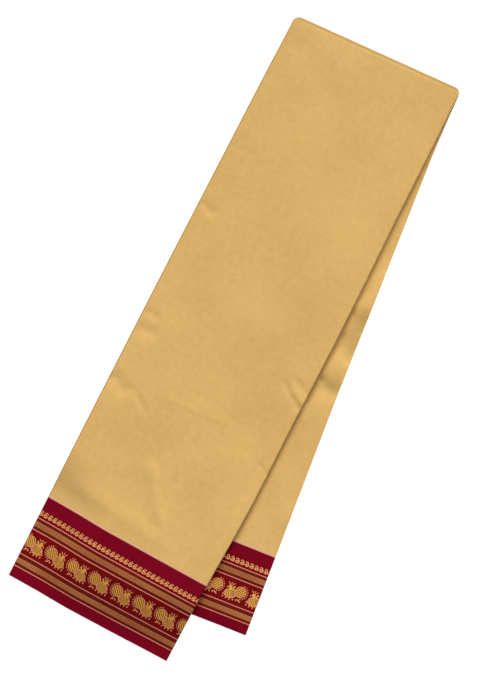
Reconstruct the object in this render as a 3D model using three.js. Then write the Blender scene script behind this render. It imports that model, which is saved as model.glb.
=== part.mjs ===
// A silk sari folded to a long strip, then folded once across, in mm.
// Y runs up the upper flap from its woven border to the fold, X to the right, Z up. The origin is
// under the middle of the whole object.
import * as THREE from "three";

// Sizes of the folded strip
const HALF = 86.5; // half the strip's width
const FAN = THREE.MathUtils.degToRad(3.05); // the fold line's lean, half the angle between the flaps
const FOLD = { x: 83.3, y: 597.8 }; // where the fold's axis crosses the middle of the strip
const MID = 7.45; // the fold axis above the floor, and the outer radius of the fold
const ROLL = 8; // half the strip's length that the fold takes up
const SHEET = 1.2; // a stretch of cloth that shows
const GAP = 0.3;
const INNER = 0.35; // from the fold's axis to the upper flap's underside
const FACE = 0.15; // from the fold's axis to the lower flap's upper face
const CORNER = 6.5; // the fold's ends are rounded to this in plan
const BORDER = 83; // the woven border of the upper flap
const UPPER_LENGTH = 603; // the upper flap from its end to the fold
const UNDER_BORDER = 80.5;
const UNDER_LENGTH = 553.7; // the lower flap along its right edge
const TUCK = 6; // the outer sheet runs on under the fold by this

// The rounded long sides. The left one is the last fold, so one sheet wraps all the layers there.
const LEFT = { r: 3.8, radius: 3.65 };
const RIGHT = { r: 5.6, radius: 1.85 };

// The upper flap's sag beside and beyond the lower one: slight along the side, and down to the
// floor at the left bottom corner, past a slanting line through x, y that faces dx, dy
const SAG = { depth: MID + INNER, lead: 14, span: 60, fromFold: 14, overFold: 90, least: 0.15 };
const CORNER_SAG = { x: 30, y: 128, dx: -0.25, dy: -0.97, span: 62 };

// How far the sheet's edges lie off the straight strip, by the distance y along the upper flap
const UPPER_EDGES = [
  { y: -10, left: 2.2, right: 1.3 },
  { y: 60, left: 1.5, right: 1.6 },
  { y: 125, left: 0.9, right: 4.1 },
  { y: 171, left: 0.5, right: 5.2 },
  { y: 250, left: 0, right: 4.3 },
  { y: 340, left: -0.4, right: 4.3 },
  { y: 400, left: -0.4, right: 3.5 },
  { y: 470, left: -0.5, right: 1.8 },
  { y: 540, left: -0.5, right: 1 },
  { y: 590, left: 0, right: 0 },
];
// Where the upper flap ends, and its border's height there, by the distance x across it
const UPPER_END = [
  { x: -10, y: -1, border: 84.5 },
  { x: 30, y: -2.1, border: 84.3 },
  { x: 60, y: -3.7, border: 84.4 },
  { x: 110, y: -4.5, border: 83.8 },
  { x: 175, y: -4.9, border: 82.6 },
];
// How far the lower flap lies to the left of the true fold, by the distance d from the fold
const UNDER_SHIFT = [
  { d: 0, left: 0 },
  { d: 20, left: 1.2 },
  { d: 60, left: 2.5 },
  { d: 200, left: 3.2 },
  { d: 315, left: 3.9 },
  { d: 400, left: 3.3 },
  { d: 554, left: 2.4 },
];
// Soft waves along the lower flap's free edge: crests by the distance d from the fold
const WAVES = [
  { d: 208, wide: 50, rise: 3 },
  { d: 283, wide: 26, rise: 3.4 },
];

// Stations across the strip, shared by every sheet that lies flat on another
const ACROSS = [-76, -66, -56, -46, -35, -23, -8, 12, 34, 60, 67, 75];
// Stations up the upper flap from its end, round the fold, and down the lower flap from the fold
const UP_BORDER = [0, 10, 22, 34, 46, 58, 70];
const UP_BODY = [95, 108, 124, 142, 165, 190, 215, 240, 265, 290, 315, 340, 370, 400, 430, 460, 490, 520, 545, 570, 590];
const ROUND = [-1, -0.75, -0.5, -0.25, 0, 0.25, 0.5, 0.75, 1];
const DOWN_BODY = [20, 40, 70, 105, 140, 165, 180, 194, 208, 221, 233, 245, 257, 264, 270, 277, 283, 289, 296, 302, 309, 325, 345, 370, 400, 440];
const DOWN_BORDER = [492, 510, 526, 540.5, 547.5];

const clamp01 = (t) => Math.min(1, Math.max(0, t));
const smooth = (t) => clamp01(t) ** 2 * (3 - 2 * clamp01(t));
const mix = (a, b, t) => a + (b - a) * t;

// A direction round a fold, on a circle that pressing has squared
function pressed(angle) {
  const out = Math.cos(angle),
    up = Math.sin(angle),
    reach = (out ** 4 + up ** 4) ** -0.25;
  return { out: out * reach, up: up * reach };
}

// Reads a column of a table at a key, joined by straight lines
function read(table, key, at, column) {
  const last = table.length - 1;
  if (at <= table[0][key]) return table[0][column];
  if (at >= table[last][key]) return table[last][column];
  const i = table.findIndex((row) => row[key] > at) - 1;
  const t = (at - table[i][key]) / (table[i + 1][key] - table[i][key]);
  return mix(table[i][column], table[i + 1][column], t);
}

const along = { x: Math.cos(FAN), y: Math.sin(FAN) }; // along the fold line
const past = { x: -Math.sin(FAN), y: Math.cos(FAN) }; // past the fold, away from both flaps
const down = { x: Math.sin(2 * FAN), y: -Math.cos(2 * FAN) }; // down the lower flap
const side = { x: Math.cos(2 * FAN), y: Math.sin(2 * FAN) }; // across the lower flap, to the right

// Along and past the fold line, for a place u across the strip and w along it as if it lay open
// with the fold line through nought
const folded = (u, w) => ({ a: u * along.x + w * along.y, b: u * past.x + w * past.y });
// Length along the strip to a line parallel to the fold
const foldLine = (u, b) => (b - u * past.x) / past.y;
// The lower flap's end, straight across the strip
const underEnd = foldLine(HALF, ROLL) + UNDER_LENGTH;

// The lower flap in plan: a along the fold line, d on from the fold
function underPlan(a, d) {
  const left = read(UNDER_SHIFT, "d", d, "left");
  return {
    x: FOLD.x + a * along.x - d * past.x - left * side.x,
    y: FOLD.y + a * along.y - d * past.y - left * side.y,
  };
}

// The lower flap's left bottom corner, from which the sag is measured
const lowest = folded(-HALF, underEnd);
const underCorner = underPlan(lowest.a, lowest.b - ROLL);

// How far the upper flap hangs below its own level at a place in plan
function sag(x, y) {
  const dx = x - underCorner.x,
    dy = y - underCorner.y;
  const beside = Math.max(0, -(dx * side.x + dy * side.y) + SAG.lead);
  const beyond = Math.max(0, dx * down.x + dy * down.y + SAG.lead);
  const clear = smooth((FOLD.y - y - SAG.fromFold) / SAG.overFold);
  const beyondLine = CORNER_SAG.dx * (x - CORNER_SAG.x) + CORNER_SAG.dy * (y - CORNER_SAG.y);
  const share = mix(SAG.least, 1, smooth(beyondLine / CORNER_SAG.span));
  return SAG.depth * clear * smooth(Math.hypot(beside, beyond) / SAG.span) * share;
}

// How far the lower flap's free edge is lifted
function wave(u, d) {
  const free = smooth((u - (HALF - 0.107 * d + 8.5)) / 9);
  return free * WAVES.reduce((sum, w) => sum + w.rise * smooth(1 - Math.abs(d - w.d) / w.wide), 0);
}

// The place of a point of the strip: u across it, w along it, and r out from the fold's axis
function place(u, w, r) {
  const { a, b } = folded(u, w);
  if (b < -ROLL) {
    const x = FOLD.x + u + ROLL * past.x,
      y = FOLD.y + w + ROLL * past.y;
    const share = (u + HALF) / (2 * HALF);
    const off = mix(read(UPPER_EDGES, "y", y, "left"), read(UPPER_EDGES, "y", y, "right"), share);
    return [x + off, y, MID + r - sag(x + off, y)];
  }
  if (b > ROLL) {
    const d = b - ROLL,
      { x, y } = underPlan(a, d);
    const z = MID - r,
      level = clamp01(z / MID);
    return [x, y, z - 1.25 * sag(x, y) * level + wave(u, d) * level ** 1.5];
  }
  const turn = pressed((-b / ROLL) * (Math.PI / 2));
  const out = r * turn.out;
  const near = CORNER - (MID - out);
  const narrow = near > 0 ? CORNER - Math.sqrt(CORNER ** 2 - near ** 2) : 0;
  const slim = a * (1 - narrow / HALF);
  return [FOLD.x + slim * along.x + out * past.x, FOLD.y + slim * along.y + out * past.y, MID + r * turn.up];
}

const upperEnd = (u) => read(UPPER_END, "x", u + FOLD.x, "y") - FOLD.y - ROLL * past.y;
const upperSeam = (u) => upperEnd(u) + read(UPPER_END, "x", u + FOLD.x, "border");

// A station: a function from u to the length along the strip
const upper = (d) => (u) =>
  d < BORDER
    ? mix(upperEnd(u), upperSeam(u), d / BORDER)
    : mix(upperSeam(u), foldLine(u, -ROLL), (d - BORDER) / (UPPER_LENGTH - BORDER));
const round = (t) => (u) => foldLine(u, t * ROLL);
const under = (d) => (u) => mix(foldLine(u, ROLL), underEnd, d / UNDER_LENGTH);

// The closed skin of a lattice: at(i, j, k) gives each point, i across, j along, k through
function skin(ni, nj, nk, at) {
  const index = new Map(),
    points = [],
    faces = [];
  const corner = (i, j, k) => {
    const key = (i * (nj + 1) + j) * (nk + 1) + k;
    if (!index.has(key)) {
      index.set(key, points.length / 3);
      points.push(...at(i, j, k));
    }
    return index.get(key);
  };
  const quad = (a, b, c, d) => faces.push(a, b, c, a, c, d);
  for (let i = 0; i < ni; i++)
    for (let j = 0; j < nj; j++) {
      quad(corner(i, j, nk), corner(i + 1, j, nk), corner(i + 1, j + 1, nk), corner(i, j + 1, nk));
      quad(corner(i, j, 0), corner(i, j + 1, 0), corner(i + 1, j + 1, 0), corner(i + 1, j, 0));
    }
  for (let j = 0; j < nj; j++)
    for (let k = 0; k < nk; k++) {
      quad(corner(0, j, k), corner(0, j, k + 1), corner(0, j + 1, k + 1), corner(0, j + 1, k));
      quad(corner(ni, j, k), corner(ni, j + 1, k), corner(ni, j + 1, k + 1), corner(ni, j, k + 1));
    }
  for (let i = 0; i < ni; i++)
    for (let k = 0; k < nk; k++) {
      quad(corner(i, 0, k), corner(i + 1, 0, k), corner(i + 1, 0, k + 1), corner(i, 0, k + 1));
      quad(corner(i, nj, k), corner(i, nj, k + 1), corner(i + 1, nj, k + 1), corner(i + 1, nj, k));
    }
  const geometry = new THREE.BufferGeometry();
  geometry.setAttribute("position", new THREE.Float32BufferAttribute(points, 3));
  geometry.setIndex(faces);
  return geometry;
}

// The outer sheet: a path across the strip that turns down both long sides, at a depth in from the
// outside. Each place on the path gives [u, r].
function wrapPath(depth) {
  const turnOn = (c, uc, degrees) => {
    const t = pressed(THREE.MathUtils.degToRad(degrees));
    return [uc + (c.radius - depth) * t.out, c.r + (c.radius - depth) * t.up];
  };
  const leftCentre = -HALF + LEFT.radius,
    rightCentre = HALF - RIGHT.radius;
  return [
    ...[215, 190, 165, 150, 135, 120, 105, 90].map((t) => turnOn(LEFT, leftCentre, t)),
    ...ACROSS.map((u) => [u, MID - depth]),
    ...[90, 60, 25, -10, -50].map((t) => turnOn(RIGHT, rightCentre, t)),
  ];
}

function outerSheet(stations) {
  const paths = [wrapPath(SHEET), wrapPath(0)];
  return skin(paths[0].length - 1, stations.length - 1, 1, (i, j, k) => {
    const [u, r] = paths[k][i];
    return place(u, stations[j](u), r);
  });
}

// The lower flap's upper face: a flat sheet with its left edge drawn in under the rounded side
function innerSheet(stations) {
  const faces = [
    { from: -HALF + 2.9, to: HALF - 0.1, edge: FACE + 0.25, r: FACE },
    { from: -HALF + 1.2, to: HALF - 0.5, edge: FACE + SHEET - 0.1, r: FACE + SHEET },
  ];
  const last = ACROSS.length + 1;
  return skin(last, stations.length - 1, 1, (i, j, k) => {
    const { from, to, edge, r } = faces[k];
    const u = i === 0 ? from : i === last ? to : ACROSS[i - 1];
    return place(u, stations[j](u), i === last ? edge : r);
  });
}

// The side profiles of the hidden layers, seventeen points each from the inner face to the outer.
// inset is measured in from the strip's edge.
const LEVELS = 16;
function lobes(bounds, insets) {
  const ring = [];
  bounds.slice(1).forEach((high, n) => {
    const low = bounds[n];
    ring.push({ r: low, inset: insets[n] }, { r: mix(low, high, 0.22), inset: 0.15 }, { r: mix(low, high, 0.5), inset: 0 }, { r: mix(low, high, 0.78), inset: 0.15 });
  });
  ring.push({ r: bounds[bounds.length - 1], inset: insets[insets.length - 1] });
  return ring;
}
function arc(c, radius, from, to, count) {
  return Array.from({ length: count }, (_, n) => {
    const t = pressed(THREE.MathUtils.degToRad(mix(from, to, n / (count - 1))));
    return { r: c.r + radius * t.up, inset: c.radius + radius * t.out };
  });
}
const inside = SHEET + GAP;
const SIDES = {
  leftWrapped: [
    { r: INNER, inset: 3.1 },
    { r: 0.6, inset: 2.6 },
    { r: 1.0, inset: 2.4 },
    { r: 1.5, inset: 2.5 },
    ...arc(LEFT, LEFT.radius - inside, 240, 90, 13),
  ],
  leftBare: arc(LEFT, LEFT.radius, 211, 90, 17),
  rightWrapped: [
    ...lobes([INNER, 1.1, 2.0, 3.8], [0.6, 0.65, 0.7, 0.8]),
    { r: 4.4, inset: 1.95 },
    { r: 5.0, inset: 1.9 },
    { r: 5.3, inset: 1.8 },
    { r: MID - inside, inset: RIGHT.radius },
  ],
  rightBare: [
    ...lobes([FACE + inside, 2.3, 2.9, 3.8], [0.6, 0.6, 0.65, 0.8]),
    { r: 4.3, inset: 0.12 },
    { r: 5.7, inset: 0 },
    { r: 6.9, inset: 0.3 },
    { r: MID, inset: 1.3 },
  ],
};
// Where the layers' woven ends lie, in from the end of the flap, over four bundles of layers
const ENDS = [
  { groove: 0.9, crest: 0.35 },
  { groove: 0.8, crest: 0.1 },
  { groove: 0.95, crest: 0.5 },
  { groove: 0.75, crest: 0.2 },
  { groove: 0.7, crest: 0.2 },
];
const endInset = (k) => (k % 4 === 0 ? ENDS[k / 4].groove : ENDS[Math.floor(k / 4)].crest);

function hiddenLayers() {
  // bare is how far the outer wrap has given way, and face how far the lower flap's own sheet has
  // taken its place inside
  const rows = [
    ...[...UP_BORDER, BORDER, ...UP_BODY].map((d) => ({ at: upper(d), bare: 0 })),
    ...ROUND.map((t) => ({ at: round(t), bare: 0 })),
    { at: under(3), bare: 0, face: 1 },
    { at: under(TUCK + GAP), bare: 0, face: 1 },
    { at: under(TUCK + GAP + 3), bare: 1, face: 1 },
    ...[...DOWN_BODY, UNDER_LENGTH - UNDER_BORDER, ...DOWN_BORDER, UNDER_LENGTH].map((d) => ({ at: under(d), bare: 1, face: 1 })),
  ];
  const last = ACROSS.length + 1,
    long = rows.length - 1;
  // keeps the rings apart where the inner face rises to make room for the lower flap's sheet
  const squeeze = (k) => (k < 6 ? 0.02 * k : 0);
  const section = (row, i, k) => {
    const wrapped = { left: SIDES.leftWrapped[k], right: SIDES.rightWrapped[k] };
    const bare = { left: SIDES.leftBare[k], right: SIDES.rightBare[k] };
    const inner = row.face ? FACE + inside : INNER;
    const outer = mix(MID - inside, MID, row.bare);
    const pick = (edge) => {
      const r = k === 0 ? inner : Math.max(inner, mix(wrapped[edge].r, bare[edge].r, row.bare));
      const apart = row.face && !row.bare ? squeeze(k) : 0;
      return { r: r + apart, inset: mix(wrapped[edge].inset, bare[edge].inset, row.bare) };
    };
    if (i === 0) {
      const p = pick("left");
      return { u: -HALF + p.inset, r: p.r };
    }
    if (i === last) {
      const p = pick("right");
      return { u: HALF - p.inset, r: p.r };
    }
    return { u: ACROSS[i - 1], r: mix(inner, outer, k / LEVELS) };
  };
  return skin(last, long, LEVELS, (i, j, k) => {
    const p = section(rows[j], i, k);
    const end = j === 0 ? 1 : j === long ? -1 : 0;
    return place(p.u, rows[j].at(p.u) + end * endInset(k), p.r);
  });
}

const silk = (colour, roughness) => new THREE.MeshStandardMaterial({ color: colour, roughness });
const gold = silk(0xd7ae6a, 0.5);
const maroon = silk(0x6e1012, 0.6);
const layers = silk(0xcfa560, 0.6);

const group = new THREE.Group();
function add(name, geometry, material) {
  geometry.computeVertexNormals();
  const mesh = new THREE.Mesh(geometry, material);
  mesh.name = name;
  group.add(mesh);
}

const half = GAP / 2;
add(
  "front_body",
  outerSheet([...[BORDER + half, ...UP_BODY].map(upper), ...ROUND.map(round), under(TUCK)]),
  gold,
);
add("front_border", outerSheet([...UP_BORDER, BORDER - half].map(upper)), maroon);
add("under_body", innerSheet([3 + GAP, 6.3, 9.3, ...DOWN_BODY, UNDER_LENGTH - UNDER_BORDER - half].map(under)), gold);
add("under_border", innerSheet([UNDER_LENGTH - UNDER_BORDER + half, ...DOWN_BORDER, UNDER_LENGTH].map(under)), maroon);
add("hidden_layers", hiddenLayers(), layers);

// The origin goes under the middle of the object, on the floor
const box = new THREE.Box3().setFromObject(group);
const middle = box.getCenter(new THREE.Vector3());
group.children.forEach((mesh) => mesh.geometry.translate(-middle.x, -middle.y, -box.min.z));

export default group;
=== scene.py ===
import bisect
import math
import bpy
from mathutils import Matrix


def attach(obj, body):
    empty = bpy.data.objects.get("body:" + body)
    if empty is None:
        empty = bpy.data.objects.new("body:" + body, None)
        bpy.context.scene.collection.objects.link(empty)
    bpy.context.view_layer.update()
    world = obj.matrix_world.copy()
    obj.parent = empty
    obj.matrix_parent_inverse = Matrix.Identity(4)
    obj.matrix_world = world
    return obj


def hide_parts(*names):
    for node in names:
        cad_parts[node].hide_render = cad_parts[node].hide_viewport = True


bl_info = {
    "name": "Folded silk sari",
    "version": (1, 0, 0),
    "blender": (4, 5, 0),
    "location": "3D View > Sidebar > Sari",
    "description": "Dresses a folded sari's solids in silk with woven borders, on a pale floor",
    "category": "Add Mesh",
}

import bpy
from bpy.props import FloatProperty, FloatVectorProperty, PointerProperty
from mathutils import Vector

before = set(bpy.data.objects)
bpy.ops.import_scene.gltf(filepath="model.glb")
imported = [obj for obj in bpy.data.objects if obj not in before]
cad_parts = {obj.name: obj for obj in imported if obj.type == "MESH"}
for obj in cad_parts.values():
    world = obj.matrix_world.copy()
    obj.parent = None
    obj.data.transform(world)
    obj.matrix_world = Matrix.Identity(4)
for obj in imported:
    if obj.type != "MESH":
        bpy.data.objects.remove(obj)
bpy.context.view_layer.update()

# The strip's sizes, in mm, as the solids have them
HALF = 86.5  # half the strip's width
FAN = math.radians(3.05)  # half the angle between the two flaps
FOLD = Vector((83.3, 597.8))  # the middle of the fold line, in plan
MID = 7.45  # height of the fold's axis above the floor
ROLL = 8.0  # how far on each side of the fold line the cloth turns
FACE = 0.15  # the lower flap's upper face, out from the axis
CORNER = 6.5  # rounding of the fold's two ends
UNDER_LENGTH, UPPER_LENGTH = 553.7, 603.0  # the flaps, from the fold to the woven end
TUCK = 6.0  # how far the outer sheet runs on under the fold
BORDER, UNDER_BORDER = 83.0, 80.5  # the borders' heights on the upper and the lower flap
GAP = 0.3  # between a field and its border
LOBE = 3.6  # radius of the last fold, down the left side
# The outer sheet's rounded sides: the middle, out from the fold's axis, the radius, the angles
# in degrees between which it turns, and the steps
LEFT_SIDE, RIGHT_SIDE = (3.8, 3.65, 262, 90, 18), (5.6, 1.85, 90, -80, 8)
RIGHT_DRAW = 1.2  # how far the right-hand folds stay in from the strip's edge
FREE_EDGE = 0.1  # and the cloth's own end
UNDER_START = 9.9  # where the lower flap's pattern starts, in from the strip's right edge
UNDER_FROM = 1.0  # where its silk starts, down from the fold
UNDER_THIN = 0.8  # and its share of the upper flap's thickness
SARI_WIDTH = 1170.0
PANEL = 171.9  # one panel of the cloth between two folds
WRAPPED = 4.4  # the length of cloth that goes round the fold
MIDDLE = Vector((111.268, 302.294, 0))  # the object's middle in the strip's own plan

# The upper flap's sag beside and beyond the lower one, and to the floor past a slanting line
SAG_DEPTH, SAG_LEAD, SAG_SPAN, SAG_LEAST = 7.8, 14.0, 60.0, 0.15
SAG_FROM_FOLD, SAG_OVER_FOLD = 14.0, 90.0
CORNER_AT, CORNER_FACING, CORNER_SPAN = Vector((30, 128)), Vector((-0.25, -0.97)), 62.0
UNDER_SAG = 1.25  # the lower flap's share of that sag
SQUARE = 4  # how square a pressed fold is: 2 is a circle

# Along the upper flap: (distance from its border's end, left edge's shift, right edge's shift)
UPPER_EDGES = (
    (-10, 2.2, 1.3),
    (60, 1.5, 1.6),
    (125, 0.9, 4.1),
    (171, 0.5, 5.2),
    (250, 0.0, 4.3),
    (340, -0.4, 4.3),
    (400, -0.4, 3.5),
    (470, -0.5, 1.8),
    (540, -0.5, 1.0),
    (590, 0.0, 0.0),
)
# Across the upper flap: (distance from the left, where the flap ends, its border's height)
UPPER_END = (
    (-10, -1.0, 84.5),
    (30, -2.1, 84.3),
    (60, -3.7, 84.4),
    (110, -4.5, 83.8),
    (175, -4.9, 82.6),
)
# Down the lower flap: (distance from the fold, shift to the left)
UNDER_SHIFT = ((0, 0.0), (20, 1.2), (60, 2.5), (200, 3.2), (315, 3.9), (400, 3.3), (554, 2.4))
# Waves of the lower flap's free edge: (distance from the fold, half width, rise)
WAVES = ((208, 50, 3.0), (283, 26, 0.5))
# They start at a line that leans in from the right edge: its lean, its start past the edge, and
# the width over which the waves come in
FREE_LEAN, FREE_PAST, FREE_BLEND = 0.107, 8.5, 9
WAVE_FADE = 1.5  # how fast they die down through the layers

# Creases, in plan: (from x, y, to x, y, half width, height)
UPPER_CREASES = (
    (76, 150, 97, 118, 6, 1.0),
    (86, 160, 105, 112, 4, 0.45),
    (97, 148, 101, 120, 2.5, -0.55),
    (4, 96, 46, 85, 13, -0.85),
    (30, 104, 104, 95, 7, 0.4),
    (2, 214, 16, 206, 7, -0.9),
    (24, 211, 42, 199, 2.4, -0.4),
    (2, 285, 12, 282, 4, -0.5),
    (2, 266, 16, 268, 6, -0.7),
    (1, 400, 12, 396, 4, -0.6),
    (60, 219, 110, 223, 2.6, 0.16),
    (80, 236, 118, 231, 2.6, -0.14),
    (150, 282, 171, 268, 2.2, -0.6),
    (158, 290, 173, 284, 2.2, -0.6),
    (160, 279, 173, 274, 2.0, 0.6),
    (164, 203, 172, 198, 1.6, -0.7),
    (162.6, 188, 163.2, 98, 1.7, -0.38),
    (166.2, 190, 166.8, 104, 1.8, 0.2),
    (43, 300, 138, 232, 26, -0.9),
    (110, 330, 150, 420, 22, 0.5),
    (18, 575, 62, 545, 14, -0.4),
    (60, 470, 120, 380, 30, 0.6),
)
LOWER_CREASES = (
    (173, 380, 191, 383, 11, 1.2),
    (178, 339, 194, 337, 11, -1.2),
    (180, 298, 195, 295, 9, -1.8),
    (181, 284, 198, 280, 14, -0.4),
    (174.5, 378, 174.5, 292, 4.5, -0.9),
    (171, 349, 177.5, 348.5, 3.4, -1.2),
    (171, 340, 178, 339, 8, -0.4),
    (171, 303, 178.5, 301.5, 3.4, -1.2),
    (170.5, 372, 176.5, 371, 2.8, -1.0),
    (178, 268, 186, 240, 6, 0.35),
    (192, 330, 198, 344, 3, -0.4),
    (180, 200, 206, 170, 10, 0.4),
)
CREASE_FADE = 0.4  # how far a crease runs on past each end, in its own lengths
CALM = 25.0  # creases come in over this distance from the fold
SUNK_REACH = (5, 6)  # how far about a place the hidden layers look for a dip

# Stations of the hidden layers, in mm: across the strip, up the upper flap from its end, round
# the fold from -1 to 1, and down the lower flap from the fold
ACROSS = (-76, -66, -56, -46, -35, -23, -8, 12, 34, 60, 67, 75)
UP_ROWS = (
    0, 10, 22, 34, 46, 58, 70, 83, 95, 108, 124, 142, 165, 190, 215, 240, 265, 290, 315, 340,
    370, 400, 430, 460, 490, 520, 545, 570, 590,
)
ROUND_ROWS = (-1, -0.75, -0.5, -0.25, 0, 0.25, 0.5, 0.75, 1)
FACE_FROM, TURNED_UNDER = 3.0, 6.3  # where the lower flap's face starts and the outer sheet ends
DOWN_ROWS = (
    FACE_FROM, TURNED_UNDER, 20, 40, 70, 105, 140, 170, 190, 203, 216, 229, 242, 255, 268, 281,
    294, 307, 322, 340, 365, 400, 440, 473, 492, 510, 526, 540.5, 547.5, UNDER_LENGTH,
)
# The cloth that shows: steps from an edge of the fold to its middle, where it is tucked in past
# the fold, and the rows of the borders
ROLL_STEPS, TUCK_ROWS, BORDER_STEP = 14, (2.0, 4.0, TUCK), 2.2
SMOOTH_ANGLE = 50  # sharper edges than this, in degrees, stay sharp


def clamp01(t):
    return min(1.0, max(0.0, t))


def smooth(t):
    t = clamp01(t)
    return t * t * (3 - 2 * t)


def mix(a, b, t):
    return a + (b - a) * t


def read(table, at, column=1):
    """A column of a table at a key, joined by straight lines."""
    i = bisect.bisect_right([row[0] for row in table], at)
    if i == 0 or i == len(table):
        return table[min(i, len(table) - 1)][column]
    low, high = table[i - 1], table[i]
    return mix(low[column], high[column], (at - low[0]) / (high[0] - low[0]))


ALONG = Vector((math.cos(FAN), math.sin(FAN)))
PAST = Vector((-math.sin(FAN), math.cos(FAN)))
DOWN = Vector((math.sin(2 * FAN), -math.cos(2 * FAN)))
SIDE = Vector((math.cos(2 * FAN), math.sin(2 * FAN)))


def fold_line(u, b):
    """How far along the strip a line parallel to the fold lies."""
    return (b - u * PAST.x) / PAST.y


UNDER_END = fold_line(HALF, ROLL) + UNDER_LENGTH


def under_plan(a, d):
    """The lower flap in plan: a along the fold line, d on from the fold."""
    return FOLD + a * ALONG - d * PAST - read(UNDER_SHIFT, d) * SIDE


LOWEST = Vector((-HALF, UNDER_END))
UNDER_CORNER = under_plan(LOWEST.dot(ALONG), LOWEST.dot(PAST) - ROLL)


def sag(x, y):
    """How far the upper flap hangs below its own level at a place in plan."""
    off = Vector((x, y)) - UNDER_CORNER
    beside = max(0.0, SAG_LEAD - off.dot(SIDE))
    beyond = max(0.0, SAG_LEAD + off.dot(DOWN))
    clear = smooth((FOLD.y - y - SAG_FROM_FOLD) / SAG_OVER_FOLD)
    corner = (Vector((x, y)) - CORNER_AT).dot(CORNER_FACING) / CORNER_SPAN
    share = mix(SAG_LEAST, 1.0, smooth(corner))
    return SAG_DEPTH * clear * smooth(math.hypot(beside, beyond) / SAG_SPAN) * share


def wave(u, d):
    """How far the lower flap's free edge is lifted."""
    free = smooth((u - (HALF - FREE_LEAN * d + FREE_PAST)) / FREE_BLEND)
    return free * sum(rise * smooth(1 - abs(d - at) / wide) for at, wide, rise in WAVES)


def creases(table, x, y):
    """The height of the listed creases, each a soft ridge or dip along a short line."""
    total = 0.0
    for ax, ay, bx, by, wide, high in table:
        lx, ly = bx - ax, by - ay
        t = ((x - ax) * lx + (y - ay) * ly) / (lx * lx + ly * ly)
        if -CREASE_FADE < t < 1 + CREASE_FADE:
            gap = abs((x - ax) * ly - (y - ay) * lx) / math.hypot(lx, ly)
            ends = smooth(1 + t / CREASE_FADE) * smooth(1 + (1 - t) / CREASE_FADE)
            total += high * ends * math.exp(-((gap / wide) ** 2))
    return total


def sunk(x, y):
    """The least height of the lower creases about a place, for the hidden layers: their mesh is
    too coarse to follow each crease, and so they stay under the cloth that shows."""
    aside, on = SUNK_REACH
    places = [(x + i, y + j) for i in (-aside, 0, aside) for j in (-on, 0, on)]
    return min(creases(LOWER_CREASES, *place) for place in places)


def pressed(angle):
    """A direction round a fold, on a circle that pressing has squared."""
    out, up = math.cos(angle), math.sin(angle)
    reach = (out**SQUARE + up**SQUARE) ** (-1 / SQUARE)
    return out * reach, up * reach


def place(u, w, r):
    """A point of the strip in plan and height, in mm: u across it, w along it as if it lay
    open with the fold line through nought, and r out from the fold's axis."""
    flat = Vector((u, w))
    a, b = flat.dot(ALONG), flat.dot(PAST)
    if b < -ROLL:
        x, y = FOLD + flat + ROLL * PAST
        share = (u + HALF) / (2 * HALF)
        x += mix(read(UPPER_EDGES, y, 1), read(UPPER_EDGES, y, 2), share)
        level = clamp01(r / MID)
        near_fold = smooth((FOLD.y - y) / CALM)
        lift = creases(UPPER_CREASES, x, y) * level * near_fold
        return Vector((x, y, MID + r - sag(x, y) + lift))
    if b > ROLL:
        d = b - ROLL
        x, y = under_plan(a, d)
        z = MID - r
        level = clamp01(z / MID)
        folds = creases(LOWER_CREASES, x, y) if r <= FACE else sunk(x, y)
        lift = wave(u, d) * level**WAVE_FADE + folds * level
        return Vector((x, y, z - UNDER_SAG * sag(x, y) * level + lift))
    turn = pressed(-b / ROLL * math.pi / 2)
    out = r * turn[0]
    near = CORNER - (MID - out)
    narrow = CORNER - math.sqrt(CORNER**2 - near**2) if near > 0 else 0.0
    x, y = FOLD + a * (1 - narrow / HALF) * ALONG + out * PAST
    return Vector((x, y, MID + r * turn[1]))


def upper_end(u):
    return read(UPPER_END, u + FOLD.x) - FOLD.y - ROLL * PAST.y


def upper(d):
    """A station across the upper flap, d from its end."""

    def line(u):
        end = upper_end(u)
        seam = end + read(UPPER_END, u + FOLD.x, 2)
        if d < BORDER:
            return mix(end, seam, d / BORDER)
        return mix(seam, fold_line(u, -ROLL), (d - BORDER) / (UPPER_LENGTH - BORDER))

    return line


def roll(t):
    """A station round the fold, t from -1 to 1."""
    return lambda u: fold_line(u, t * ROLL)


def under(d):
    """A station across the lower flap, d from the fold."""
    return lambda u: mix(fold_line(u, ROLL), UNDER_END, d / UNDER_LENGTH)


def steps(low, high, about):
    """Even steps from low to high, about so far apart."""
    count = max(1, round((high - low) / about))
    return [mix(low, high, n / count) for n in range(count + 1)]


def fold_order(count):
    """Where each panel of a strip lies once it has been folded in half till one panel is left."""
    stacks = [[panel] for panel in range(count)]
    while len(stacks) > 1:
        last = len(stacks) - 1
        stacks = [stacks[c] + stacks[last - c][::-1] for c in range(len(stacks) // 2)]
    order = stacks[0]
    return [order.index(panel) for panel in range(count)]


PANELS = 32
LAYER_OF = fold_order(PANELS)

# How far out from the fold's axis the layers lie: the innermost, the next one, the last but one
# and the outermost
INNERMOST, NEXT, LAST_BUT_ONE, OUTERMOST = 0.45, 0.66, 6.85, MID - 0.1
# Ripples of the woven edge: (height, mm to a radian, start), and the share that the cloth that
# shows has of them
SELVEDGE_IN, FACE_RIPPLE = 0.75, 0.25
SELVEDGE_RIPPLES = ((0.4, 61, 0.0), (0.25, 23, 1.3), (0.1, 7, 0.0))
# Ripples of a hidden fold: (depth, mm to a radian, start for each panel), and how far out across
# the strip they begin
FOLD_IN, FOLDS_PAST = 0.3, 80
FOLD_RIPPLES = ((0.18, 47, 0.9), (0.12, 19, 1.7))
# Bundles of layers with one round fold at the right: (first layer, last layer, how far in)
RIGHT_BUNDLES = ((16, 31, 0.0), (8, 15, 0.5), (4, 7, 0.15), (2, 3, 0.8))
# Steps round a fold: (radius below this, steps)
FOLD_STEPS = ((0.6, 4), (2, 6), (math.inf, 10))


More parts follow.
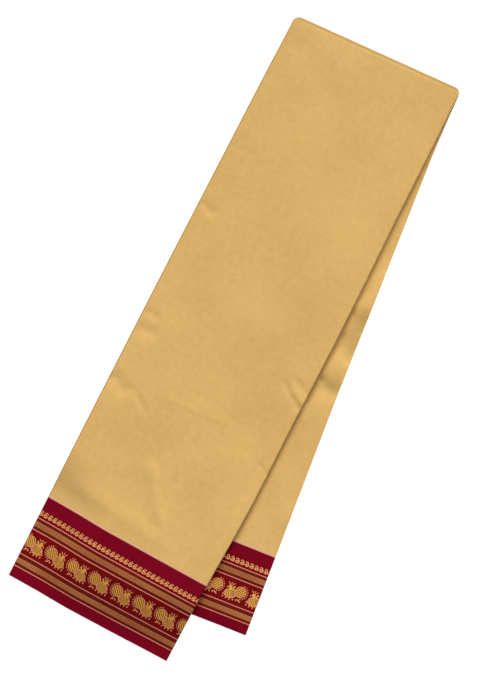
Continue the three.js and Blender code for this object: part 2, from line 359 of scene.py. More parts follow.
def layer_r(layer):
    """How far out from the fold's axis a layer lies."""
    if layer == 0:
        return INNERMOST
    if layer == PANELS - 1:
        return OUTERMOST
    return mix(NEXT, LAST_BUT_ONE, (layer - 1) / (PANELS - 3))


def selvedge(x):
    """How far in from the flap's end the woven edge lies, along the cloth."""
    return SELVEDGE_IN + sum(h * math.sin(x / per + at) for h, per, at in SELVEDGE_RIPPLES)


def fold_wander(panel, w):
    """How far a hidden fold draws in from the strip's edge, unevenly."""
    return FOLD_IN + sum(h * math.sin(w / per + panel * at) for h, per, at in FOLD_RIPPLES)


def right_lobe(low, high):
    """How far out the right-hand fold's centre lies, for a fold that joins two layers."""
    for first, last, back in RIGHT_BUNDLES:
        if first <= low and high <= last:
            return HALF - (layer_r(last) - layer_r(first)) / 2 - back
    return HALF - RIGHT_DRAW


def turn_points(side, ra, rb, centre, count, from_x):
    """A fold from one layer to the next round one long side of the strip."""
    middle, radius = (ra + rb) / 2, (rb - ra) / 2
    points = []
    for n in range(count + 1):
        out, up = pressed(math.pi * (n / count - 0.5))
        u = side * (centre + abs(radius) * out)
        points.append((u, middle + radius * up, from_x + abs(radius) * math.pi * n / count))
    return points


def panel_path():
    """The strip's section through all the panels, as [u, r, x along the cloth, panel]. A half
    stands for the fold after a panel."""
    path = []
    left_end = -(HALF - LOBE)
    for p in range(PANELS):
        toward = -1 if p % 2 == 0 else 1
        r = layer_r(LAYER_OF[p])
        right_end = HALF - RIGHT_DRAW
        for q in (p - 1, p):
            if q % 2 == 1 and 0 < q < PANELS - 1:
                right_end = right_lobe(*sorted((LAYER_OF[q], LAYER_OF[q + 1])))
        if p == 0:
            right_end = HALF - FREE_EDGE
        between = [u for u in ACROSS if left_end + 1 < u < right_end - 1]
        flats = [left_end, *between, right_end]
        if toward < 0:
            flats.reverse()
        for u in flats:
            across = (u + HALF) if toward > 0 else (HALF - u)
            path.append((u, r, p * PANEL + across, p))
        if p + 1 < PANELS:
            next_r = layer_r(LAYER_OF[p + 1])
            centre = -left_end if toward < 0 else right_end
            count = next(n for below, n in FOLD_STEPS if abs(next_r - r) / 2 < below)
            turn = turn_points(toward, r, next_r, centre, count, path[-1][2])
            path += [(*point, p + 0.5) for point in turn[1:-1]]
    return path


def cloth_mesh(name, columns, stations, thickness, offset, keep=None, wander=False):
    """A sheet of cloth over the strip: columns hold [u, r, x along the cloth, panel], stations
    hold [line across the strip, distance along the cloth, whether it is a woven end]."""
    points, uvs, faces = [], [], []
    rows = len(stations)
    for u, r, x_cloth, panel in columns:
        for line, v, end in stations:
            w, across = line(u), u
            if end:
                w += end * selvedge(x_cloth) * (1.0 if wander else FACE_RIPPLE)
            if wander and panel % 1 and abs(u) > FOLDS_PAST:
                share = 0.5 if abs(u) > HALF - 1 else 1
                across -= math.copysign(fold_wander(x_cloth // PANEL, w), u) * share
            points.append(tuple((place(across, w, r) - MIDDLE) / 1000))
            uvs.append((x_cloth / 1000, v / 1000))
    for i in range(len(columns) - 1):
        for j in range(rows - 1):
            if keep and not keep(columns[i], columns[i + 1], stations[j][1], stations[j + 1][1]):
                continue
            here, beside = i * rows + j, (i + 1) * rows + j
            faces.append((here, beside, beside + 1, here + 1))
    mesh = bpy.data.meshes.new(name)
    mesh.from_pydata(points, [], faces)
    layer = mesh.uv_layers.new(name="cloth")
    for loop in mesh.loops:
        layer.data[loop.index].uv = uvs[loop.vertex_index]
    mesh.validate()
    piece = bpy.data.objects.new(name, mesh)
    bpy.context.collection.objects.link(piece)
    bpy.ops.object.select_all(action="DESELECT")
    piece.select_set(True)
    bpy.context.view_layer.objects.active = piece
    if keep:
        bpy.ops.object.mode_set(mode="EDIT")
        bpy.ops.mesh.select_all(action="SELECT")
        bpy.ops.mesh.delete_loose(use_verts=True, use_edges=True, use_faces=False)
        bpy.ops.object.mode_set(mode="OBJECT")
    shell = piece.modifiers.new("thickness", "SOLIDIFY")
    shell.thickness = thickness / 1000
    shell.offset = offset
    shell.use_rim = True
    bpy.ops.object.modifier_apply(modifier=shell.name)
    bpy.ops.object.shade_smooth_by_angle(angle=math.radians(SMOOTH_ANGLE))
    piece.select_set(False)
    return piece


def upper_rows(distances):
    return [(upper(d), d, 1 if d == 0 else 0) for d in distances]


def roll_rows(turns):
    return [(roll(t), UPPER_LENGTH + (t + 1) / 2 * WRAPPED, 0) for t in turns]


def under_cloth(d):
    """The distance along the cloth, with the lower border drawn out to the upper one's height."""
    left = UNDER_LENGTH - d
    if left < UNDER_BORDER:
        return SARI_WIDTH - left * BORDER / UNDER_BORDER
    return SARI_WIDTH - (left + BORDER - UNDER_BORDER)


def under_rows(distances):
    return [(under(d), under_cloth(d), -1 if d == UNDER_LENGTH else 0) for d in distances]


# Shader maths


class Term:
    """A value in a material's node tree. Sums on it add Math nodes."""

    def __init__(self, paint, socket):
        self.paint, self.socket = paint, socket

    def math(self, operation, *others, clamp=False):
        return self.paint.node(
            "ShaderNodeMath", {"operation": operation, "use_clamp": clamp}, [self, *others]
        )

    def __add__(self, other):
        return self.math("ADD", other)

    def __sub__(self, other):
        return self.math("SUBTRACT", other)

    def __rsub__(self, other):
        return self.paint.node("ShaderNodeMath", {"operation": "SUBTRACT"}, [other, self])

    def __mul__(self, other):
        return self.math("MULTIPLY", other)

    def __truediv__(self, other):
        return self.math("DIVIDE", other)

    def __rtruediv__(self, other):
        return self.paint.node("ShaderNodeMath", {"operation": "DIVIDE"}, [other, self])

    __radd__, __rmul__ = __add__, __mul__

    def __abs__(self):
        return self.math("ABSOLUTE")

    def sin(self):
        return self.math("SINE")

    def root(self):
        return self.math("SQRT")

    def fract(self):
        return self.math("FRACT")

    def wrap(self, period):
        return self.math("FLOORED_MODULO", period)

    def least(self, other):
        return self.math("MINIMUM", other)

    def most(self, other):
        return self.math("MAXIMUM", other)

    def turn(self, other):
        return self.math("ARCTAN2", other)

    def held(self):
        """The value kept between nought and one."""
        return self.math("ADD", 0.0, clamp=True)


class Paint:
    """Builds one material's nodes."""

    def __init__(self, name):
        self.material = bpy.data.materials.new(name)
        self.material.use_nodes = True
        self.tree = self.material.node_tree
        self.tree.nodes.clear()

    def node(self, kind, settings=None, values=None, out=0):
        """Adds a node: its settings first, then its sockets, by place or by name."""
        node = self.tree.nodes.new(kind)
        for key, value in (settings or {}).items():
            setattr(node, key, value)
        named = values.items() if isinstance(values, dict) else enumerate(values or [])
        for key, value in named:
            socket = node.inputs[key]
            if isinstance(value, Term):
                self.tree.links.new(value.socket, socket)
            else:
                socket.default_value = value
        return Term(self, node.outputs[out]) if node.outputs else None

    def blend(self, share, low, high):
        """A colour between two colours."""
        return self.node(
            "ShaderNodeMix",
            {"data_type": "RGBA", "blend_type": "MIX"},
            {0: share, 6: low, 7: high},
            out=2,
        )

    def cloth(self):
        """The place on the cloth, in mm along it and across it from the first selvedge."""
        uv = self.node("ShaderNodeUVMap", {"uv_map": "cloth"})
        split = self.node("ShaderNodeSeparateXYZ", None, [uv])
        x = split * 1000
        v = Term(self, split.socket.node.outputs[1]) * 1000
        return x, v

    def noise(self, x, y, per_x, per_y, detail, roughness):
        """Smooth noise about a half, with so many cells to a mm each way."""
        where = self.node("ShaderNodeCombineXYZ", None, [x * per_x, y * per_y, 0.0])
        return self.node(
            "ShaderNodeTexNoise",
            {"noise_dimensions": "2D"},
            {"Vector": where, "Scale": 1.0, "Detail": detail, "Roughness": roughness},
        )

    def finish(self, colour, roughness, metallic, height, depth, gloss):
        """The cloth's shader, with its raised threads as bump."""
        level, tint = gloss
        bump = self.node(
            "ShaderNodeBump", None, {"Strength": 1.0, "Distance": depth, "Height": height}
        )
        shader = self.node(
            "ShaderNodeBsdfPrincipled",
            None,
            {
                "Base Color": colour,
                "Roughness": roughness,
                "Metallic": metallic,
                "Normal": bump,
                "Specular IOR Level": level,
                "Specular Tint": tint,
            },
        )
        self.node("ShaderNodeOutputMaterial", None, [shader])
        return self.material


def linear(red, green, blue):
    """A screen colour, 0 to 255, as Blender's linear colour."""

    def one(c):
        c /= 255
        return c / 12.92 if c <= 0.04045 else ((c + 0.055) / 1.055) ** 2.4

    return (one(red), one(green), one(blue), 1.0)


def rgba(prop):
    return (*tuple(prop)[:3], 1.0)


def soft(inside, width=0.25):
    """Turns a signed distance in mm, more than nought inside a shape, to a mask."""
    return (inside / width + 0.5).held()


def band(d, low, high, width=0.25):
    return soft(d - low, width) * soft(high - d, width)


def far(dx, dy):
    """The length of an offset."""
    return (dx * dx + dy * dy).root()


def ripple(s, pitch):
    """A sine wave along a direction, from -1 to 1."""
    return (s * (2 * math.pi / pitch)).sin()


def oval(x, y, cx, cy, long, short, degrees):
    """A filled oval, its long way turned by some degrees."""
    c, s = math.cos(math.radians(degrees)), math.sin(math.radians(degrees))
    dx, dy = x - cx, y - cy
    p, q = (dx * c + dy * s) / long, (dy * c - dx * s) / short
    return soft((1 - far(p, q)) * short)


def stroke(x, y, ax, ay, bx, by, half_width):
    """A short thick line with round ends."""
    lx, ly = bx - ax, by - ay
    dx, dy = x - ax, y - ay
    t = ((dx * lx + dy * ly) / (lx * lx + ly * ly)).held()
    p, q = dx - t * lx, dy - t * ly
    return soft(half_width - far(p, q))


# Noise in the weave: cells to a mm along the cloth and across it, detail and roughness
WEFT_YARN, WARP_YARN = (0.02, 0.9, 4.0, 0.65), (0.8, 0.016, 4.0, 0.65)
CLOUDS, SLUBS, MOTTLE = (0.014, 0.014, 2.0, 0.5), (0.045, 0.33, 2.0, 0.5), (0.16, 0.16, 3.0, 0.7)
# The pitch of the threads each way, of the join's stitches and of the beads on the fine lines
WARP_PITCH, WEFT_PITCH, STITCH, BEAD = 0.62, 0.55, 1.9, 1.4
# The field's darker and lighter threads, and the painted shade on the rounded rim of a pressed
# fold, as shares of it
DARK_SILK, LIGHT_SILK, PAINTED_RIM_SHADE = (0.80, 0.78, 0.72), (1.17, 1.19, 1.26), (0.5, 0.5, 0.5)
# The painted shade line on a fold's rounded rim: the middle, past the flap's length or the
# panel's, half width and softness
FOLD_LINE, SIDE_LINE = (2.5, 1.75, 0.3), (0.5, 2.2, 0.8)
# how strong the painted shade on the left side's rim is, against the fold's
SIDE_SHADE_SHARE = 0.7
JOIN_HALF = 0.45  # half the height of the row of stitches
# Gloss of each cloth: its level and its tint
SILK_GLOSS = (0.25, (1.0, 0.74, 0.36, 1.0))
BORDER_GLOSS = (0.08, (1.0, 0.3, 0.25, 1.0))
LAYER_GLOSS = (0.2, (1.0, 0.66, 0.36, 1.0))

# The border's rows, in mm from the selvedge: from and to, or a line's middle
BIRD_ROW, BIRD_FOOT = (26.0, 45.4), 26.2
COMMA_ROW, COMMA_FOOT, COMMA_PITCH, COMMA_START = (62.8, 69.2), 63.1, 4.9, 1.1
STRIPES, STRIPE_EDGES = ((14.3, 19.1), (52.5, 57.4)), (14.5, 18.9, 52.7, 57.2)
BESIDE_STRIPES = ((11.6, 22.5), (49.6, 60.2))
FINE_LINES = (11.1, 23.4, 49.2, 60.8)
PATTERNED, PATTERN_BLEND = (9.0, 69.0), 1.2
SEAM_FROM = 82.2
BORDER_SHADE = (0.02, 0.001, 0.002, 1.0)


def weave(paint, x, v):
    """The silk's threads: uneven yarn both ways, slow clouds, and the fine weave itself."""
    weft, warp = paint.noise(x, v, *WEFT_YARN), paint.noise(x, v, *WARP_YARN)
    threads = ripple(x, WARP_PITCH) * ripple(v, WEFT_PITCH)
    return weft * 0.5 + warp * 0.5 - 0.5, paint.noise(x, v, *CLOUDS) - 0.5, threads


def join_thread(x):
    """The stitches of light thread where the border is woven on to the field."""
    return ripple(x, STITCH) * 0.2 + 0.7


def shaded(base, factors):
    """A colour with each of its parts made darker or lighter."""
    return tuple(min(1, part * factor) for part, factor in zip(base, factors)) + (1.0,)


def silk_face(paint, look, x, v):
    """The plain gold field, with painted shade on its folds' rims: its colour, roughness and
    height.
    """
    streaks, cloud, threads = weave(paint, x, v)
    slub, mottle = paint.noise(x, v, *SLUBS) - 0.5, paint.noise(x, v, *MOTTLE) - 0.5
    share = 0.5 + streaks * 0.2 + slub * 0.14 + cloud * 0.5 + mottle * 0.5
    share = (share + threads * 0.06).held()
    colour = paint.blend(share, shaded(look.silk, DARK_SILK), shaded(look.silk, LIGHT_SILK))
    # painted shade on the rounded rims, along the fold and down the left side
    past, half, blur = FOLD_LINE
    fold_rim_shade = soft(half - abs(v - UPPER_LENGTH - past), blur)
    past, half, blur = SIDE_LINE
    rim_shade = fold_rim_shade.most(soft(half - abs(x - PANEL - past), blur) * SIDE_SHADE_SHARE)
    colour = paint.blend(rim_shade, colour, shaded(look.silk, PAINTED_RIM_SHADE))
    roughness = 0.6 + streaks * 0.15 + rim_shade * 0.25
    from_join = v.least(SARI_WIDTH - v) - BORDER - JOIN_HALF
    join = soft(JOIN_HALF - abs(from_join)) * join_thread(x)
    colour = paint.blend(join, colour, rgba(look.seam))
    height = streaks * 0.28 + slub * 0.16 + mottle * 0.32 + threads * 0.1
    return colour, roughness, height


def most(*masks):
    """All the masks together."""
    total = masks[0]
    for mask in masks[1:]:
        total = total.most(mask)
    return total


def strokes(x, y, *lines):
    return most(*(stroke(x, y, *line) for line in lines))


def hatch(s, pitch, gold):
    """Parallel threads across a direction: one band of gold, so wide, in each pitch."""
    return soft(gold / 2 - abs((s / pitch).fract() - 0.5) * pitch)


# One bird, in mm: the radius of its tail's rim and of the dots round it, and how many dots go to
# a full round
TAIL_ROUND, DOTS_ROUND, DOTS = 5.25, 6.9, 19
# The drops under it: (centre x, y, turn in degrees)
DROPS = (
    (9.6, 2.9, 60),
    (12.7, 2.3, 75),
    (16.2, 1.6, 90),
    (19.6, 1.9, 105),
    (22.9, 2.3, 100),
    (23.4, 5.0, 90),
)


def bird(x, q):
    """One woven peacock, in a space 24 mm long and 18 mm high, that looks along the cloth: a mask
    of its bright outlines and one of its yellow filling."""
    # the round tail, with a rim and slanting feathers
    dx, dy = x - 7.7, q - 11.6
    away = far(dx, dy)
    rim = soft(0.34 - abs(away - TAIL_ROUND))
    feathers = hatch(dx * 0.77 + dy * 0.64 + (dx * 1.1 - dy * 1.3).sin() * 0.22, 2.0, 1.3)
    feathers = feathers * soft(4.75 - away)
    # dots round its back
    turn = dy.turn(dx)
    near = ((turn * (DOTS / (2 * math.pi))).fract() - 0.5) * (2 * math.pi / DOTS * DOTS_ROUND)
    dots = soft(0.55 - far(near, away - DOTS_ROUND)) * soft(-0.6 - dx, 0.4)
    # the body, with a curled wing
    bx, by = x - 16.7, q - 7.4
    body = (bx * bx * 0.66 + by * by * 0.98 + bx * by * 0.2).root()
    body_rim = soft(0.36 - abs(body - 4.55)) * soft(away - 5.5)
    curl_away = far(x - 13.4, q - 8.4)
    curl = soft(0.36 - abs(curl_away - 1.35)).most(soft(0.5 - curl_away)) * soft(away - 5.4)
    wing = hatch(curl_away + bx * 0.2, 1.9, 1.25) * soft(4.1 - body) * soft(curl_away - 1.9)
    wing = wing * soft(away - 5.9)
    # neck, head, beak and back
    head_away = far(x - 18.7, q - 13.9)
    head = soft(1.7 - head_away) * soft(head_away - 0.45)
    neck = strokes(x, q, (17.6, 11.4, 18.6, 13.0, 1.15), (14.7, 15.0, 16.0, 12.4, 0.7))
    lines = strokes(
        x, q,
        (20.3, 13.4, 21.8, 12.0, 0.4),
        (15.6, 17.6, 17.2, 16.2, 0.36),
        (18.5, 18.0, 18.6, 16.6, 0.36),
        (21.4, 17.6, 20.1, 16.0, 0.36),
    )
    feather = oval(x, q, 6.9, 3.1, 2.2, 0.6, 34)
    drops = most(*(oval(x, q, cx, cy, 0.95, 0.6, turn) for cx, cy, turn in DROPS))
    bright = most(rim, dots, body_rim, curl, lines, feather, drops)
    return bright, most(feathers, wing, head, neck)


def comma(x, q):
    """One of the small paisleys of the narrow row, in 4.9 mm by 6 mm."""
    away = far(x - 1.95, q - 1.95)
    bulb = soft(1.65 - away) * soft(away - 0.6)
    lines = strokes(
        x, q,
        (0.65, 2.6, 1.6, 4.7, 0.42),
        (1.6, 4.7, 2.6, 5.3, 0.36),
        (3.5, 4.2, 3.6, 4.7, 0.5),
        (3.9, 1.1, 4.4, 2.3, 0.34),
    )
    return bulb.most(lines)


def border_face(paint, look, x, d):
    """The woven border by the distance d from the selvedge: colour, roughness, metal, height."""
    streaks, cloud, threads = weave(paint, x, d)
    tone = (0.5 + streaks * 0.9 + cloud * 0.8).held()
    along = (x - look.motif_start * 1000).wrap(look.motif_pitch * 1000)
    in_birds = band(d, *BIRD_ROW)
    bright, filled = (mask * in_birds for mask in bird(along, d - BIRD_FOOT))
    small = comma((x - COMMA_START).wrap(COMMA_PITCH), d - COMMA_FOOT) * band(d, *COMMA_ROW)
    # the ribbed stripes: slanting dashes in rows, between two fine lines
    stripe = most(*(band(d, *rows) for rows in STRIPES))
    dash = hatch(x + d * 1.1, 1.8, 1.0) * hatch(d, 1.5, 1.15)
    edges = most(*(soft(0.2 - abs(d - at)) for at in STRIPE_EDGES)) * 0.7
    ribs = stripe * dash.most(edges) * (cloud * 0.8 + 0.9).held()
    beads = ripple(x, BEAD) * 0.2 + 0.8
    line = most(*(soft(0.42 - abs(d - at)) for at in FINE_LINES)) * beads
    seam = soft(d - SEAM_FROM) * join_thread(x)
    # the ground, with small ticks of gold beside the stripes
    patterned = band(d, *PATTERNED, PATTERN_BLEND)
    beside = most(*(band(d, *rows) for rows in BESIDE_STRIPES))
    ticks = hatch(x - d, 1.5, 0.6) * hatch(d, 1.25, 0.6) * beside * (1 - stripe)
    ground = paint.blend(patterned, rgba(look.plain_band), rgba(look.ground))
    ground = paint.blend(beside * 0.75, ground, rgba(look.gap))
    ground = paint.blend((0.5 - tone) * 0.6, ground, BORDER_SHADE)
    colour = paint.blend(stripe * 0.8, ground, rgba(look.rib_shade))
    colour = paint.blend(ticks * 0.12, colour, rgba(look.rib_gold))
    colour = paint.blend(ribs * (tone * 0.35 + 0.65), colour, rgba(look.rib_gold))
    colour = paint.blend(line, colour, rgba(look.line_pink))
    colour = paint.blend(seam, colour, rgba(look.seam))
    gold_thread = paint.blend(tone, rgba(look.zari_shade), rgba(look.zari))
    small_thread = paint.blend(tone, rgba(look.rib_gold), rgba(look.outline))
    colour = paint.blend(filled, colour, gold_thread)
    colour = paint.blend(small, colour, small_thread)
    colour = paint.blend(bright, colour, rgba(look.outline))
    gold = most(filled, bright, small)
    raised = gold.most(ribs * 0.6).most(line * 0.5)
    roughness = 0.6 - gold * 0.18 - ribs * 0.12 + streaks * 0.1
    metal = gold * 0.35 + ribs * 0.2
    height = raised * 0.8 + streaks * 0.25 + threads * 0.1
    return colour, roughness, metal, height


def silk_material(look):
    paint = Paint("gold_silk")
    x, v = paint.cloth()
    colour, roughness, height = silk_face(paint, look, x, v)
    return paint.finish(colour, roughness, 0.0, height, look.thread_relief, SILK_GLOSS)


def border_material(look):
    paint = Paint("woven_border")
    x, v = paint.cloth()
    d = v.least(SARI_WIDTH - v)
    colour, roughness, metal, height = border_face(paint, look, x, d)
    return paint.finish(colour, roughness, metal, height, look.thread_relief, BORDER_GLOSS)


def layer_material(look):
    """Both, for the hidden layers, which run from one border to the other."""
    paint = Paint("layered_silk")
    x, v = paint.cloth()
    d = v.least(SARI_WIDTH - v)
    plain, plain_rough, plain_height = silk_face(paint, look, x, v)
    colour, roughness, metal, height = border_face(paint, look, x, d)
    woven = soft(look.border_height * 1000 - d)
    return paint.finish(
        paint.blend(woven, plain, colour),
        plain_rough * (1 - woven) + roughness * woven,
        metal * woven,
        plain_height * (1 - woven) + height * woven,
        look.thread_relief,
        LAYER_GLOSS,
    )


def give(piece, material, node):
    """Gives a piece its material, hangs it under the root body and hides the solid it stands for.
    """
    piece.data.materials.clear()
    piece.data.materials.append(material)
    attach(piece, "root")
    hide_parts(node)


def material_named(name, make, look):
    return bpy.data.materials.get(name) or make(look)


# Settings


class SARI_PG_look(bpy.types.PropertyGroup):
    """Colours and weave of the sari."""

    silk: FloatVectorProperty(
        name="Silk", description="The plain field's colour", subtype="COLOR", size=3,
        min=0, max=1, default=linear(210, 169, 101)[:3],
    )
    ground: FloatVectorProperty(
        name="Ground", description="The ground of the border's patterned part", subtype="COLOR",
        size=3, min=0, max=1, default=linear(108, 10, 10)[:3],
    )
    gap: FloatVectorProperty(
        name="Gap", description="The ground beside the ribbed stripes", subtype="COLOR",
        size=3, min=0, max=1, default=linear(78, 8, 4)[:3],
    )
    plain_band: FloatVectorProperty(
        name="Plain band", description="The border's plain bands", subtype="COLOR", size=3,
        min=0, max=1, default=linear(116, 4, 28)[:3],
    )
    zari: FloatVectorProperty(
        name="Zari", description="Gold thread in the light", subtype="COLOR", size=3,
        min=0, max=1, default=linear(234, 184, 86)[:3],
    )
    zari_shade: FloatVectorProperty(
        name="Zari shade", description="Gold thread in the weave's shade", subtype="COLOR", size=3,
        min=0, max=1, default=linear(200, 140, 50)[:3],
    )
    outline: FloatVectorProperty(
        name="Outline", description="The thread of rims, dots and lines in the motifs",
        subtype="COLOR", size=3, min=0, max=1, default=linear(226, 150, 108)[:3],
    )
    rib_gold: FloatVectorProperty(
        name="Rib gold", description="The ribbed stripes' thread", subtype="COLOR", size=3,
        min=0, max=1, default=linear(232, 158, 98)[:3],
    )
    rib_shade: FloatVectorProperty(
        name="Rib shade", description="Between the ribs", subtype="COLOR", size=3,
        min=0, max=1, default=linear(104, 24, 12)[:3],
    )
    line_pink: FloatVectorProperty(
        name="Line", description="The thin lines beside the stripes", subtype="COLOR", size=3,
        min=0, max=1, default=linear(236, 140, 128)[:3],
    )
    seam: FloatVectorProperty(
        name="Join", description="The line where the border meets the field", subtype="COLOR",
        size=3, min=0, max=1, default=linear(240, 184, 156)[:3],
    )
    motif_pitch: FloatProperty(
        name="Motif pitch", description="From one bird to the next", unit="LENGTH", min=0.01,
        default=0.024,
    )
    motif_start: FloatProperty(
        name="Motif start", description="Where the first bird starts along the cloth",
        unit="LENGTH", default=0.0016,
    )
    border_height: FloatProperty(
        name="Border", description="The woven border's height", unit="LENGTH", default=0.083,
    )
    thread_relief: FloatProperty(
        name="Thread relief", description="Height of the raised threads", unit="LENGTH",
        min=0, default=0.00008,
    )


class SARI_PG_cloth(bpy.types.PropertyGroup):
    """Thickness and fineness of the cloth."""

    face: FloatProperty(
        name="Face", description="Thickness of a stretch that shows", unit="LENGTH",
        default=0.00025,
    )
    layer: FloatProperty(
        name="Layer", description="Thickness of a hidden layer", unit="LENGTH", default=0.00013,
    )
    grain: FloatProperty(
        name="Grain", description="Size of a face of the cloth's mesh", unit="LENGTH",
        default=0.0023,
    )


class SARI_PG_stage(bpy.types.PropertyGroup):
    """Floor, lights and camera."""

    floor: FloatVectorProperty(
        name="Floor", description="The floor's colour", subtype="COLOR", size=3, min=0, max=1,
        default=(0.3, 0.3, 0.3),
    )
    glow: FloatProperty(
        name="Glow", description="How brightly the floor is lit from below", default=0.9, min=0,
    )
    key: FloatProperty(name="Key", description="The overhead light's strength", default=0.5)
    side: FloatProperty(name="Side", description="The side light's strength", default=4.95)
    fill: FloatProperty(name="Fill", description="The sky's strength", default=0.26)
    scale: FloatProperty(
        name="Pixel", description="What one pixel of the picture covers", unit="LENGTH",
        default=0.000955,
    )
    tilt: FloatProperty(
        name="Turn", description="The sari's turn in the picture", subtype="ANGLE",
        default=math.radians(27.4),
    )


# Operators


def rounded_side(u, middle, radius, start, end, count):
    """Points round one of the outer sheet's long sides, about the place u across the strip."""
    turns = [pressed(math.radians(mix(start, end, n / count))) for n in range(count + 1)]
    return [(u + radius * out, middle + radius * up) for out, up in turns]


def face_path(grain):
    """The outer sheet of the upper flap: round the left fold, over the top, round the right."""
    radius, start, end = LEFT_SIDE[1:4]
    left, right = -(HALF - radius), HALF - RIGHT_SIDE[1]
    path = rounded_side(left, *LEFT_SIDE)
    path += [(u, MID) for u in steps(left, right, grain)[1:-1]]
    path += rounded_side(right, *RIGHT_SIDE)
    columns, x = [], PANEL - (radius * math.radians(start - end) - radius)
    for n, (u, r) in enumerate(path):
        if n:
            x += math.hypot(u - path[n - 1][0], r - path[n - 1][1])
        columns.append((u, r, x, 1))
    return columns


def inner_face_path(grain):
    """The lower flap's upper face, from its free right edge to the left fold."""
    right, left = HALF - FREE_EDGE, -(HALF - LOBE)
    return [(u, FACE, HALF - u - UNDER_START, 0) for u in reversed(steps(left, right, grain))]


class SARI_OT_upper_flap(bpy.types.Operator):
    """Makes the upper flap's silk, which runs over the fold, and its woven border."""

    bl_idname = "sari.upper_flap"
    bl_label = "Upper flap"

    def execute(self, context):
        cloth, look = context.scene.sari_cloth, context.scene.sari_look
        grain, thickness = cloth.grain * 1000, cloth.face * 1000
        columns = face_path(grain)
        rows = upper_rows(steps(BORDER + GAP / 2, UPPER_LENGTH, grain)[:-1])
        rows += roll_rows([n / ROLL_STEPS for n in range(-ROLL_STEPS, ROLL_STEPS + 1)])
        rows += under_rows(TUCK_ROWS)
        silk = cloth_mesh("upper_silk", columns, rows, thickness, -1)
        material = material_named("gold_silk", silk_material, look)
        give(silk, material, "front_body")

        rows = upper_rows(steps(0, BORDER - GAP / 2, BORDER_STEP))
        border = cloth_mesh("upper_border", columns, rows, thickness, -1)
        material = material_named("woven_border", border_material, look)
        give(border, material, "front_border")
        return {"FINISHED"}


class SARI_OT_lower_flap(bpy.types.Operator):
    """Makes the lower flap's upper face and its woven border."""

    bl_idname = "sari.lower_flap"
    bl_label = "Lower flap"

    def execute(self, context):
        cloth, look = context.scene.sari_cloth, context.scene.sari_look
        grain, thickness = cloth.grain * 1000, cloth.face * 1000 * UNDER_THIN
        columns = inner_face_path(grain)
        end = UNDER_LENGTH - UNDER_BORDER
        rows = under_rows(steps(UNDER_FROM, end - GAP / 2, grain))
        silk = cloth_mesh("lower_silk", columns, rows, thickness, -1)
        material = material_named("gold_silk", silk_material, look)
        give(silk, material, "under_body")

        rows = under_rows(steps(end + GAP / 2, UNDER_LENGTH, BORDER_STEP))
        border = cloth_mesh("lower_border", columns, rows, thickness, -1)
        material = material_named("woven_border", border_material, look)
        give(border, material, "under_border")
        return {"FINISHED"}


class SARI_OT_inner_layers(bpy.types.Operator):
    """Makes the rest of the sari: the sheet folded in half five times, which shows along the
    long sides, at the woven ends and underneath."""

    bl_idname = "sari.inner_layers"
    bl_label = "Inner layers"

    def execute(self, context):
        cloth, look = context.scene.sari_cloth, context.scene.sari_look
        rows = upper_rows(UP_ROWS) + roll_rows(ROUND_ROWS) + under_rows(DOWN_ROWS)
        # Just past the end of the outer sheet, and just before the start of the lower face
        outer_end, face_start = under_cloth(TURNED_UNDER) + 0.01, under_cloth(FACE_FROM) - 0.01
        outer_sheet = (0.5, 1, 1.5)  # panel 1 with the fold on each side of it

        def keep(a, b, v_low, v_high):
            """Leaves out what the four stretches that show already are."""
            if v_high <= outer_end and (a[3] in outer_sheet or b[3] in outer_sheet):
                return False
            return not (v_low >= face_start and a[3] == b[3] == 0)

        thickness = cloth.layer * 1000
        layers = cloth_mesh("inner_layers", panel_path(), rows, thickness, 0, keep, wander=True)
        material = material_named("layered_silk", layer_material, look)
        give(layers, material, "hidden_layers")
        return {"FINISHED"}


# The picture's size in pixels, and where the upper flap's bottom left corner is in it
PICTURE, CORNER_PIXEL = (477, 681), (10, 575)
LENS, SENSOR = 120, 36
SHARP_HEIGHT = 0.011  # the height above the floor at which the pixel's size holds, in m
FLOOR_SIZE, FLOOR_HEIGHT = 12, -0.0002
# The lights: to the picture's right, up the picture, above the floor, and width in degrees
OVERHEAD, SIDE_LIGHT = (0.4, 0.1, 2, 40), (0.26, 1.0, 0.48, 20)


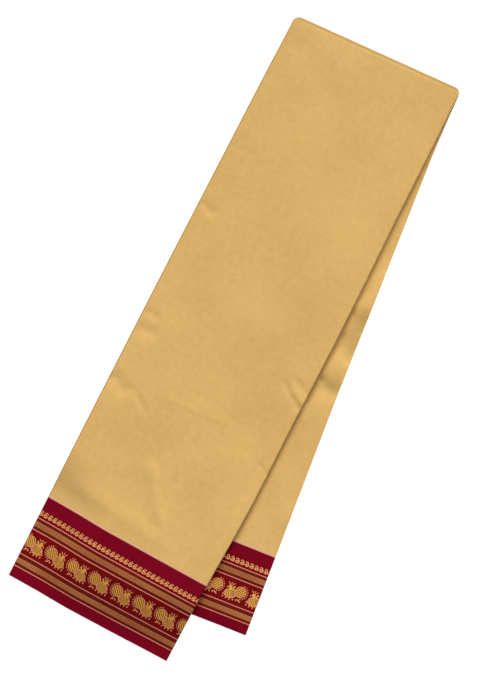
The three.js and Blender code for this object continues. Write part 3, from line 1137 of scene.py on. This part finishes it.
class SARI_OT_stage(bpy.types.Operator):
    """Makes the floor, the lights and the camera."""

    bl_idname = "sari.stage"
    bl_label = "Stage"

    def execute(self, context):
        stage = context.scene.sari_stage
        bpy.ops.object.select_all(action="DESELECT")
        bpy.ops.mesh.primitive_plane_add(size=FLOOR_SIZE, location=(0, 0, FLOOR_HEIGHT))
        floor = context.object
        floor.name = "floor"
        paint = Paint("pale_floor")
        shader = paint.node(
            "ShaderNodeBsdfPrincipled", None,
            {
                "Base Color": rgba(stage.floor), "Roughness": 1.0, "Specular IOR Level": 0.0,
                "Emission Color": (1.0, 1.0, 1.0, 1.0), "Emission Strength": stage.glow,
            },
        )
        paint.node("ShaderNodeOutputMaterial", None, [shader])
        floor.data.materials.append(paint.material)
        floor.select_set(False)

        turn = stage.tilt
        up = Vector((-math.sin(turn), math.cos(turn), 0))
        right = Vector((math.cos(turn), math.sin(turn), 0))

        def sun(name, strength, along, ahead, above, degrees):
            data = bpy.data.lights.new(name, "SUN")
            data.energy, data.angle = strength, math.radians(degrees)
            lamp = bpy.data.objects.new(name, data)
            context.collection.objects.link(lamp)
            lamp.location = up * ahead + right * along + Vector((0, 0, above))
            lamp.rotation_euler = (-lamp.location).to_track_quat("-Z", "Y").to_euler()

        sun("overhead", stage.key, *OVERHEAD)
        sun("side", stage.side, *SIDE_LIGHT)

        world = bpy.data.worlds.new("studio")
        world.use_nodes = True
        background = world.node_tree.nodes["Background"]
        background.inputs["Color"].default_value = (1, 1, 1, 1)
        background.inputs["Strength"].default_value = stage.fill
        context.scene.world = world
        context.scene.view_settings.view_transform = "Standard"

        data = bpy.data.cameras.new("camera")
        data.lens, data.sensor_width = LENS, SENSOR
        camera = bpy.data.objects.new("camera", data)
        context.collection.objects.link(camera)
        (wide, tall), (from_left, from_top) = PICTURE, CORNER_PIXEL
        away = tall * stage.scale * LENS / SENSOR
        # The picture's middle, from the flap's corner, which is at nought in the strip's own plan
        to_middle = right * (wide / 2 - from_left) - up * (tall / 2 - from_top)
        centre = stage.scale * to_middle - MIDDLE / 1000
        camera.location = (centre.x, centre.y, away + SHARP_HEIGHT)
        camera.rotation_euler = (0, 0, turn)
        context.scene.camera = camera
        return {"FINISHED"}


class SARI_PT_panel(bpy.types.Panel):
    """Lists the sari's pieces and settings."""

    bl_idname = "SARI_PT_panel"
    bl_label = "Folded sari"
    bl_space_type = "VIEW_3D"
    bl_region_type = "UI"
    bl_category = "Sari"

    def draw(self, context):
        for operator in OPERATORS:
            self.layout.operator(operator.bl_idname)
        for group in (context.scene.sari_look, context.scene.sari_cloth, context.scene.sari_stage):
            box = self.layout.box()
            for name in group.bl_rna.properties.keys():
                if name not in ("rna_type", "name"):
                    box.prop(group, name)


OPERATORS = (SARI_OT_stage, SARI_OT_upper_flap, SARI_OT_lower_flap, SARI_OT_inner_layers)
CLASSES = (SARI_PG_look, SARI_PG_cloth, SARI_PG_stage, *OPERATORS, SARI_PT_panel)


def register():
    for cls in CLASSES:
        bpy.utils.register_class(cls)
    bpy.types.Scene.sari_look = PointerProperty(type=SARI_PG_look)
    bpy.types.Scene.sari_cloth = PointerProperty(type=SARI_PG_cloth)
    bpy.types.Scene.sari_stage = PointerProperty(type=SARI_PG_stage)


def unregister():
    del bpy.types.Scene.sari_look, bpy.types.Scene.sari_cloth, bpy.types.Scene.sari_stage
    for cls in reversed(CLASSES):
        bpy.utils.unregister_class(cls)


def main():
    register()
    bpy.ops.sari.stage()
    bpy.ops.sari.upper_flap()
    bpy.ops.sari.lower_flap()
    bpy.ops.sari.inner_layers()


if __name__ == "__main__":
    main()
